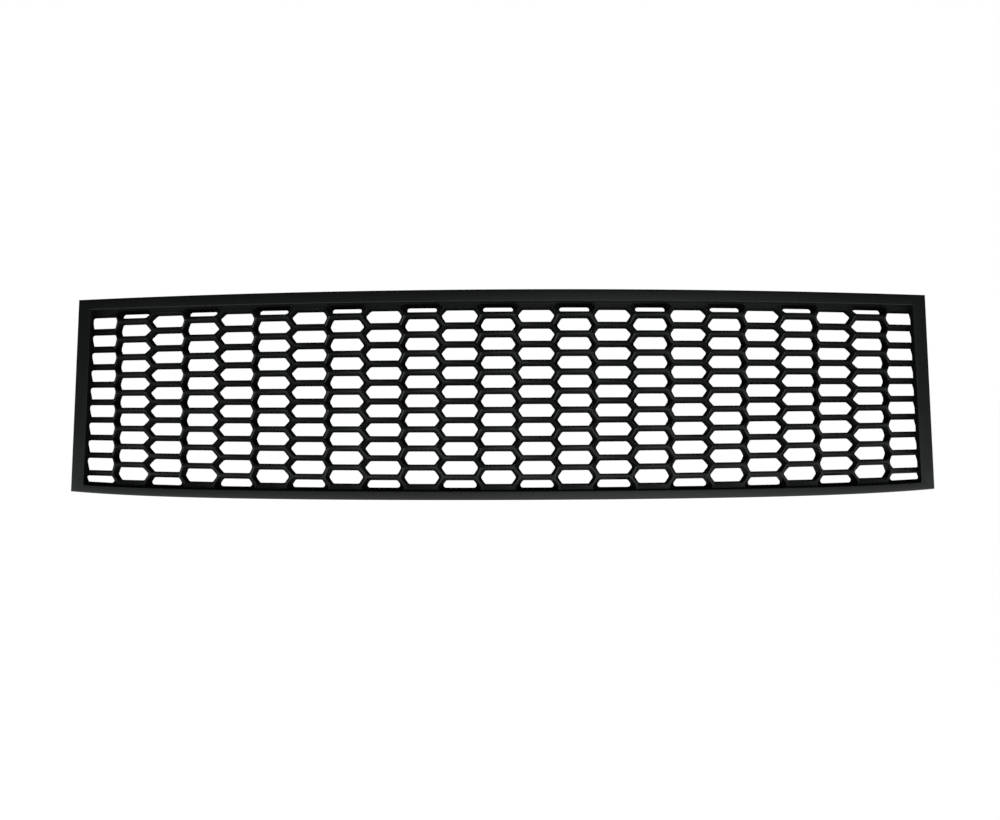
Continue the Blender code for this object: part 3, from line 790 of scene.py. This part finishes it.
def threaded(thread, low, high, segments):
    """Rings of points on a thread's surface from low to high, with the ridge fading out at both ends."""
    core, crest, pitch = thread
    rows = round((high - low) / pitch * THREAD_ROWS)
    rings = []
    for row in range(rows + 1):
        z = low + (high - low) * row / rows
        fade = min(1.0, (z - low) / pitch, (high - z) / pitch)
        ring = []
        for i in range(segments):
            angle = 2 * math.pi * i / segments
            phase = (z / pitch - i / segments) % 1.0
            radius = core + (crest - core) * max(0.0, 1 - abs(phase - 0.5) / THREAD_SHARE) * fade
            ring.append((radius * math.cos(angle), radius * math.sin(angle), z))
        rings.append(ring)
    return rings


def add_rings(bm, rings):
    """Adds rings of points with faces between neighbours, and returns their vertices."""
    made = [[bm.verts.new(point) for point in ring] for ring in rings]
    for first, second in zip(made, made[1:]):
        add_ring_faces(bm, first, second)
    return made


def cut(bm, tool, place=UNMOVED):
    return boolean_bmesh(bm, gather([(tool, place)]), "DIFFERENCE")


def recess_wing(width, length):
    """One bar of a screw head's cross recess, narrowing to its bottom."""
    bm = block((0.0, 0.0, SCREW_CROWN), (width, length, 2 * RECESS_DEPTH))
    for vertex in bm.verts:
        if vertex.co.z < SCREW_CROWN:
            vertex.co.x *= RECESS_TAPER
            vertex.co.y *= RECESS_TAPER
    return bm


def screw_mesh():
    """A pan-head self-tapping screw with its head behind the flange and its point forwards."""
    bm = bmesh.new()
    rings = threaded(SCREW_THREAD, THREAD_FRONT, THREAD_REAR, SCREW_SEGMENTS)
    head = [(1.25, 0.0), (2.7, 0.0), (2.85, 0.15), (2.8, 0.5), (2.6, 1.2), (2.1, 1.7), (1.3, 1.95)]
    rings += [circle(radius * MM, SCREW_SEAT + height * MM, SCREW_SEGMENTS) for radius, height in head]
    made = add_rings(bm, rings)
    point = bm.verts.new((0.0, 0.0, SCREW_POINT))
    crown = bm.verts.new((0.0, 0.0, SCREW_CROWN))
    for i in range(SCREW_SEGMENTS):
        j = (i + 1) % SCREW_SEGMENTS
        bm.faces.new((point, made[0][j], made[0][i]))
        bm.faces.new((crown, made[-1][i], made[-1][j]))
    bm = cut(bm, recess_wing(RECESS_LENGTH, RECESS_WIDTH))
    return cut(bm, recess_wing(RECESS_WIDTH, RECESS_LENGTH))


def make_screws(look):
    pattern = bpy.data.meshes.new("screw_pattern")
    bm = screw_mesh()
    bm.to_mesh(pattern)
    bm.free()
    for index, x in enumerate(SCREW_X, start=1):
        bm = bmesh.new()
        bm.from_mesh(pattern)
        spin = Matrix.Rotation(math.radians(SCREW_SPIN * index), 4, "Z")
        bmesh.ops.transform(bm, matrix=screw_place(x) @ spin, verts=bm.verts)
        name = f"mesh_screw_{index:02d}"
        finish_piece(name + "_threaded", bm, ROOT, look, name)
    bpy.data.meshes.remove(pattern)


def rivet_body_mesh():
    """A push-in retainer: domed flange, and a barrel split in four legs round the bore."""
    flange = [(3.4, 1.9), (3.6, 1.95), (5.2, 1.88), (6.2, 1.55), (6.5, 1.05), (6.5, 0.45), (6.35, 0.3)]
    barrel = [(3.5, 0.3), (3.2, 0.0), (3.2, -3.0), (3.35, -4.4), (3.2, -6.2), (2.9, -7.8), (2.6, -8.8)]
    bore = [(2.45, -9.0), (2.0, -9.0), (2.0, 0.9), (3.4, 0.9)]
    bm = turned(flange + barrel + bore, BODY_SEGMENTS)
    for turn in (45, 135):
        bm = cut(bm, block(**LEG_SLOT), Matrix.Rotation(math.radians(turn), 4, "Z"))
    return bm


def rivet_pin_mesh():
    """The retainer's spreader pin: low domed head with a pry slot across it, and a round-ended shank."""
    head = [(0.0, 2.0), (1.4, 1.98), (2.6, 1.88), (3.0, 1.7), (3.1, 1.4), (3.05, 1.25), (1.9, 1.2)]
    shank = [(1.7, 1.0), (1.7, -7.0), (1.5, -7.8), (1.0, -8.3), (0.0, -8.4)]
    return boolean_bmesh(turned(head + shank, PIN_SEGMENTS), block(**PRY_SLOT), "DIFFERENCE")


def make_retainers(body_look, pin_look):
    for index, x in enumerate(TOP_TABS["places"], start=1):
        spin = Matrix.Rotation(math.radians(RETAINER_SPIN * index), 4, "Z")
        place = tab_place(x, TOP_TABS) @ Matrix.Translation((0.0, 0.0, TAB)) @ spin
        for part, make_mesh, body, look, slot in (
            ("body", rivet_body_mesh, ROOT, body_look, "retainer_nylon"),
            ("pin", rivet_pin_mesh, f"pin_{index}", pin_look, "pin_nylon"),
        ):
            bm = make_mesh()
            bmesh.ops.transform(bm, matrix=place, verts=bm.verts)
            name = f"top_rivet_{part}_{index}"
            finish_piece(name + "_nylon", bm, body, look, name)


def path_normals(path):
    """Unit normals of an open path, averaged at its inner points."""
    normals = []
    for i in range(len(path)):
        before = path[max(i - 1, 0)]
        after = path[min(i + 1, len(path) - 1)]
        along = Vector((after[0] - before[0], after[1] - before[1])).normalized()
        normals.append((-along.y, along.x))
    return normals


def folded_sheet():
    """The U nut's sheet, folded round the tab's rear edge, with a lead-in on the upper leg."""
    half = CLIP_INSIDE + SHEET / 2
    arc = [math.pi * (i / CLIP_FOLD_STEPS - 0.5) for i in range(CLIP_FOLD_STEPS + 1)]
    path = [(-CLIP_LEG - LEAD_IN[-1][0], -half), (-CLIP_LEG, -half)]
    path += [(CLIP_NOSE + half * math.cos(angle), half * math.sin(angle)) for angle in arc]
    path += [(-CLIP_LEG, half)] + [(-CLIP_LEG - onward, half + up) for onward, up in LEAD_IN]
    normals = path_normals(path)
    bm = bmesh.new()
    loops = []
    for side, face in ((-1, -1), (-1, 1), (1, 1), (1, -1)):
        loop = []
        for (y, z), (normal_y, normal_z) in zip(path, normals):
            offset = face * SHEET / 2
            loop.append(bm.verts.new((side * CLIP_WIDTH / 2, y + normal_y * offset, z + normal_z * offset)))
        loops.append(loop)
    for first, second in zip(loops, loops[1:] + loops[:1]):
        for i in range(len(path) - 1):
            bm.faces.new((first[i], first[i + 1], second[i + 1], second[i]))
    for end in (0, -1):
        bm.faces.new([loop[end] for loop in loops])
    bmesh.ops.recalc_face_normals(bm, faces=bm.faces)
    corners = [edge for edge in bm.edges if edge.calc_face_angle(0.0) > math.radians(60)]
    return round_edges(bm, corners, SHEET_ROUNDING, 1)


def clip_mesh():
    """A U nut: folded sheet steel with a drawn, threaded collar above the tab and a plain hole below it."""
    rim = [(1.2, 0.45), (1.2, 3.5), (3.3, 3.5), (3.5, 3.3)]
    flare = [(3.55, 1.6), (3.9, 1.15), (4.4, 0.85), (4.4, 0.45)]
    profile = [(radius, CLIP_INSIDE / MM + height) for radius, height in rim + flare]
    bm = boolean_bmesh(folded_sheet(), turned(profile, COLLAR_SEGMENTS), "UNION")
    bore = bmesh.new()
    made = add_rings(bore, threaded(NUT_THREAD, *BORE_SPAN, BORE_SEGMENTS))
    bore.faces.new(made[0])
    bore.faces.new(made[-1])
    bm = boolean_bmesh(bm, bore, "DIFFERENCE")
    lower_hole = cylinder(LOWER_HOLE_RADIUS, -LOWER_HOLE_REACH, 0.0, COLLAR_SEGMENTS)
    return boolean_bmesh(bm, lower_hole, "DIFFERENCE")


def make_clips(look):
    for index, x in enumerate(BOTTOM_TABS["places"], start=1):
        bm = clip_mesh()
        place = tab_place(x, BOTTOM_TABS) @ Matrix.Translation((0.0, 0.0, TAB / 2))
        bmesh.ops.transform(bm, matrix=place, verts=bm.verts)
        name = f"lower_clip_nut_{index}"
        finish_piece(name + "_sheet", bm, ROOT, look, name)


# ---- materials ----

NOISE_RANGE = (0.3, 0.7)  # where nearly all of a noise's values lie
EDGE_TURN = (0.985, 0.86)  # cosine between the true and the rounded normal, where wear starts and is full


class Nodes:
    """A node tree with short calls that add nodes and join them."""

    def __init__(self, tree):
        self.tree = tree

    def add(self, kind, **settings):
        made = self.tree.nodes.new(kind)
        for key, value in settings.items():
            setattr(made, key, value)
        return made

    def join(self, source, target):
        """Feeds an input from a node's output, or sets it to a number."""
        if isinstance(source, float):
            target.default_value = source
        else:
            self.tree.links.new(source, target)

    def math(self, operation, *values, clamp=False):
        made = self.add("ShaderNodeMath", operation=operation, use_clamp=clamp)
        for value, target in zip(values, made.inputs):
            self.join(value, target)
        return made.outputs["Value"]

    def ramp(self, value, low, high, first=0.0, last=1.0, curve="LINEAR"):
        """Maps low to high on to first to last, and holds the end values beyond them."""
        made = self.add("ShaderNodeMapRange", interpolation_type=curve)
        made.inputs["From Min"].default_value = low
        made.inputs["From Max"].default_value = high
        made.inputs["To Min"].default_value = first
        made.inputs["To Max"].default_value = last
        self.join(value, made.inputs["Value"])
        return made.outputs["Result"]

    def soft_ramp(self, value, low, high):
        return self.ramp(value, low, high, curve="SMOOTHSTEP")

    def mix(self, factor, first, second):
        """The first number where the factor is 0 and the second where it is 1."""
        made = self.add("ShaderNodeMix")
        self.join(factor, made.inputs["Factor"])
        self.join(first, made.inputs["A"])
        self.join(second, made.inputs["B"])
        return made.outputs["Result"]

    def tint(self, factor, first, second):
        """The first colour where the factor is 0 and the second where it is 1."""
        made = self.add("ShaderNodeMix", data_type="RGBA")
        self.join(factor, made.inputs["Factor"])
        for colour, target in ((first, made.inputs["A"]), (second, made.inputs["B"])):
            if isinstance(colour, tuple):
                target.default_value = (*colour, 1.0)
            else:
                self.join(colour, target)
        return made.outputs["Result"]

    def axes(self, vector):
        """The X, Y and Z outputs of a vector."""
        made = self.add("ShaderNodeSeparateXYZ")
        self.join(vector, made.inputs["Vector"])
        return made.outputs

    def carried(self, vector, origin, target):
        """A vector turned from the axes of one space, such as WORLD or CAMERA, to those of another."""
        made = self.add(
            "ShaderNodeVectorTransform", vector_type="VECTOR", convert_from=origin, convert_to=target
        )
        self.join(vector, made.inputs["Vector"])
        return made.outputs["Vector"]

    def seen_by_camera(self):
        return self.add("ShaderNodeLightPath").outputs["Is Camera Ray"]


class Shader(Nodes):
    """A new material's nodes, with the inputs of its surface and the place on the object."""

    def __init__(self, name):
        self.material = bpy.data.materials.new(name)
        self.material.use_nodes = True
        super().__init__(self.material.node_tree)
        self.surface = self.tree.nodes["Principled BSDF"].inputs
        self.position = self.add("ShaderNodeTexCoord").outputs["Object"]

    def noise(self, scale, detail, roughness=0.5, stretch=(1.0, 1.0, 1.0)):
        mapping = self.add("ShaderNodeMapping")
        mapping.inputs["Scale"].default_value = stretch
        self.join(self.position, mapping.inputs["Vector"])
        made = self.add("ShaderNodeTexNoise")
        made.inputs["Scale"].default_value = scale
        made.inputs["Detail"].default_value = detail
        made.inputs["Roughness"].default_value = roughness
        self.join(mapping.outputs["Vector"], made.inputs["Vector"])
        return made.outputs["Fac"]

    def spread(self, noise, low, high):
        """Maps a noise's usual range to low and high."""
        return self.ramp(noise, *NOISE_RANGE, low, high)

    def worn_edges(self, radius, patches):
        """1 on sharp edges that are worn, 0 elsewhere; the noise called patches breaks the wear up."""
        rounded = self.add("ShaderNodeBevel", samples=4)
        rounded.inputs["Radius"].default_value = radius
        alike = self.add("ShaderNodeVectorMath", operation="DOT_PRODUCT")
        self.join(rounded.outputs["Normal"], alike.inputs[0])
        self.join(self.add("ShaderNodeNewGeometry").outputs["Normal"], alike.inputs[1])
        edge = self.ramp(alike.outputs["Value"], *EDGE_TURN)
        return self.math("MULTIPLY", edge, self.spread(patches, 0.25, 1.0), clamp=True)

    def bump(self, height, distance, strength=1.0, under=None):
        """The surface normal bumped by a height, on top of another bump where one is given."""
        made = self.add("ShaderNodeBump")
        made.inputs["Distance"].default_value = distance
        made.inputs["Strength"].default_value = strength
        self.join(height, made.inputs["Height"])
        if under:
            self.join(under, made.inputs["Normal"])
        return made.outputs["Normal"]


COARSE_GRAIN = (0.5 * MM, 0.012 * MM)  # size and height
FINE_GRAIN = (0.3 * MM, 0.006 * MM)
WEAR_RADIUS = 0.5 * MM
WEAR_LIGHTENING = 2.2
PLASTIC_SHEEN = (0.93, 1.0, 0.99, 1.0)


def moulded_plastic(name, dark, light, roughness, grain):
    """Moulded plastic with a spark-eroded grain, faint flow marks, a slightly uneven sheen and worn edges."""
    grain_size, grain_height = grain
    shader = Shader(name)
    cloud = shader.noise(scale=9.0, detail=3.0)
    fine = shader.noise(scale=1.6 / grain_size, detail=2.0, roughness=0.6)
    colour = shader.tint(shader.spread(cloud, 0.0, 1.0), dark, light)
    worn = shader.worn_edges(WEAR_RADIUS, shader.noise(scale=60.0, detail=3.0))
    worn_colour = tuple(WEAR_LIGHTENING * value for value in light)
    shader.join(shader.tint(worn, colour, worn_colour), shader.surface["Base Color"])
    sheen = shader.spread(cloud, roughness - 0.03, roughness + 0.03)
    shader.join(shader.math("ADD", sheen, shader.spread(fine, -0.04, 0.04)), shader.surface["Roughness"])
    shader.surface["Specular Tint"].default_value = PLASTIC_SHEEN
    flow = shader.noise(scale=30.0, detail=2.0, stretch=(1.0, 1.0, 3.0))
    flow_marks = shader.bump(flow, 0.05 * MM, 0.5)
    shader.join(shader.bump(fine, grain_height, under=flow_marks), shader.surface["Normal"])
    return shader.material


def plated_steel(name, dark, light, roughness, streak):
    """Plated steel with patchy plating and fine drawing marks along the axis that streak stretches."""
    shader = Shader(name)
    patch = shader.noise(scale=260.0, detail=4.0, roughness=0.6)
    lines = shader.noise(scale=1500.0, detail=2.0, stretch=streak)
    shader.join(shader.tint(shader.spread(patch, 0.0, 1.0), dark, light), shader.surface["Base Color"])
    shader.surface["Metallic"].default_value = 1.0
    shader.join(shader.spread(patch, roughness - 0.08, roughness + 0.08), shader.surface["Roughness"])
    shader.join(shader.bump(lines, 0.01 * MM, 0.6), shader.surface["Normal"])
    return shader.material


# ---- studio ----

# the camera stands this far in front of the layout point and is turned very slightly, in radians
CAMERA_DISTANCE = 1.088
CAMERA_LENS = 46.944
CAMERA_YAW = -0.02094
CAMERA_PITCH = 0.00379
CAMERA_ROLL = -0.00438
CAMERA_SHIFT = (0.00194, -0.01905)

KEY_PLACE = (0.7, -2.2, 0.12)
KEY_SIZE = (1.6, 0.5)
KEY_POWER = 4.8

# soft light all round the front, at the height of the horizon; each pair holds the directions between which
# it comes up, along the camera's axis, from below and from above
BAND_STRENGTH = 0.15
BAND_FRONT = (0.0, -0.9)
BAND_LOWER = (-0.6, -0.1)
BAND_UPPER = (0.4, -0.05)

# overhead light, which comes up towards the zenith, and with the camera's tilt as it looks down on the grille
DOME_STRENGTH = 0.4
DOME_RISE = (0.0, 0.6)
DOME_TILT = (-0.06, -0.35)

# the floor, and the light that it throws up on the grille, which comes up between two places and fades out
# between two others further forward
FLOOR_SIZE = 80.0
FLOOR_SHADE = (0.2, 0.2, 0.2)
FLOOR_SHADE_SEEN = (0.8, 0.8, 0.8)  # as the camera sees it
FLOOR_GLOW = 1.25
GLOW_START = CAD_BOX[0][1] + 0.05
GLOW_RISE = (GLOW_START, GLOW_START - 0.05)
GLOW_FADE = (-0.65, -0.22)


def make_camera():
    turn = Matrix.Rotation(CAMERA_YAW, 3, "Z")
    turn = Matrix.Rotation(-CAMERA_PITCH, 3, "X") @ turn
    turn = Matrix.Rotation(CAMERA_ROLL, 3, "Y") @ turn
    right, forward, up = (turn.transposed() @ Vector(axis) for axis in ((1, 0, 0), (0, 1, 0), (0, 0, 1)))
    data = bpy.data.cameras.new("camera")
    data.sensor_width = 36.0
    data.lens = CAMERA_LENS
    data.shift_x, data.shift_y = CAMERA_SHIFT
    data.clip_start = 0.05
    camera = bpy.data.objects.new("camera", data)
    bpy.context.scene.collection.objects.link(camera)
    axes = Matrix((right, up, -forward)).transposed().to_4x4()
    camera.matrix_world = Matrix.Translation(ORIGIN - forward * CAMERA_DISTANCE) @ axes
    bpy.context.scene.camera = camera


def make_key_light():
    """A wide soft light beside and behind the camera, which it travels with."""
    data = bpy.data.lights.new("key_light", "AREA")
    data.shape = "RECTANGLE"
    data.size, data.size_y = KEY_SIZE
    data.energy = KEY_POWER
    light = bpy.data.objects.new("key_light", data)
    bpy.context.scene.collection.objects.link(light)
    light.location = KEY_PLACE
    light.rotation_mode = "QUATERNION"
    light.rotation_quaternion = (-Vector(KEY_PLACE)).to_track_quat("-Z", "Y")
    camera = bpy.context.scene.camera
    light.parent = camera
    light.matrix_parent_inverse = camera.matrix_world.inverted()


def make_world():
    """White for the camera. For every other ray, a soft band of light before the grille and a dome above it.

    The band is placed by the camera's axes, with Z forwards, so that it travels with the camera.
    """
    world = bpy.data.worlds.new("studio")
    bpy.context.scene.world = world
    world.use_nodes = True
    nodes = Nodes(world.node_tree)
    background = world.node_tree.nodes["Background"].inputs
    background["Color"].default_value = (1.0, 1.0, 1.0, 1.0)
    sky = nodes.add("ShaderNodeTexCoord").outputs["Generated"]
    from_camera = nodes.axes(nodes.carried(sky, "WORLD", "CAMERA"))
    in_front = nodes.soft_ramp(from_camera["Z"], *BAND_FRONT)
    above = nodes.soft_ramp(from_camera["Y"], *BAND_LOWER)
    below_top = nodes.soft_ramp(from_camera["Y"], *BAND_UPPER)
    band = nodes.math("MULTIPLY", nodes.math("MULTIPLY", in_front, above), below_top)
    forward = nodes.add("ShaderNodeCombineXYZ")
    forward.inputs["Z"].default_value = 1.0
    view = nodes.axes(nodes.carried(forward.outputs["Vector"], "CAMERA", "WORLD"))
    looking_down = nodes.soft_ramp(view["Z"], *DOME_TILT)
    overhead = nodes.soft_ramp(nodes.axes(sky)["Z"], *DOME_RISE)
    dome = nodes.math("MULTIPLY", overhead, looking_down)
    light = nodes.math("MULTIPLY_ADD", band, BAND_STRENGTH, nodes.math("MULTIPLY", dome, DOME_STRENGTH))
    nodes.join(nodes.mix(nodes.seen_by_camera(), light, 1.0), background["Strength"])


def make_floor():
    """A plain pale floor, white for the camera, which lights the grille from a strip before it.

    The strip is placed by the camera's axes and follows the bow of the face.
    """
    bm = bmesh.new()
    bmesh.ops.create_grid(bm, x_segments=1, y_segments=1, size=FLOOR_SIZE / 2)
    mesh = bpy.data.meshes.new("floor")
    bm.to_mesh(mesh)
    bm.free()
    floor = bpy.data.objects.new("floor", mesh)
    floor.location = (0.0, 0.0, CAD_BOX[0][2] - 0.2 * MM)
    bpy.context.scene.collection.objects.link(floor)
    shader = Shader("floor_paper")
    shader.surface["Roughness"].default_value = 0.9
    shader.surface["Specular IOR Level"].default_value = 0.1
    seen = shader.seen_by_camera()
    shader.join(shader.tint(seen, FLOOR_SHADE, FLOOR_SHADE_SEEN), shader.surface["Base Color"])
    place = shader.axes(shader.carried(shader.position, "WORLD", "CAMERA"))
    across = shader.math("MULTIPLY", place["X"], place["X"])
    behind = shader.math("MULTIPLY_ADD", across, -0.5 / BOW_RADIUS, place["Z"])
    start = shader.soft_ramp(behind, *GLOW_RISE)
    fade = shader.soft_ramp(behind, *GLOW_FADE)
    glow = shader.math("MULTIPLY", shader.math("MULTIPLY", start, fade), FLOOR_GLOW)
    shader.surface["Emission Color"].default_value = (1.0, 1.0, 1.0, 1.0)
    shader.join(shader.mix(seen, glow, 1.0), shader.surface["Emission Strength"])
    mesh.materials.append(shader.material)


def main():
    mesh_look = moulded_plastic(
        "mesh_black_plastic", (0.0065, 0.0072, 0.0070), (0.0090, 0.0100, 0.0096), 0.50, COARSE_GRAIN
    )
    frame_look = moulded_plastic(
        "frame_black_plastic", (0.0075, 0.0082, 0.0080), (0.0105, 0.0115, 0.0110), 0.46, COARSE_GRAIN
    )
    body_look = moulded_plastic(
        "retainer_black_nylon", (0.012, 0.012, 0.012), (0.018, 0.018, 0.018), 0.52, FINE_GRAIN
    )
    pin_look = moulded_plastic(
        "pin_black_nylon", (0.016, 0.016, 0.017), (0.024, 0.024, 0.025), 0.46, FINE_GRAIN
    )
    screw_look = plated_steel(
        "screw_black_zinc", (0.05, 0.05, 0.055), (0.10, 0.10, 0.11), 0.36, (1.0, 1.0, 0.1)
    )
    clip_look = plated_steel(
        "clip_zinc_flake", (0.40, 0.40, 0.38), (0.56, 0.56, 0.53), 0.42, (1.0, 0.1, 1.0)
    )
    make_honeycomb(mesh_look)
    make_frame(frame_look)
    make_screws(screw_look)
    make_retainers(body_look, pin_look)
    make_clips(clip_look)
    make_camera()
    make_key_light()
    make_world()
    make_floor()
    bpy.context.scene.view_settings.view_transform = "Standard"


main()
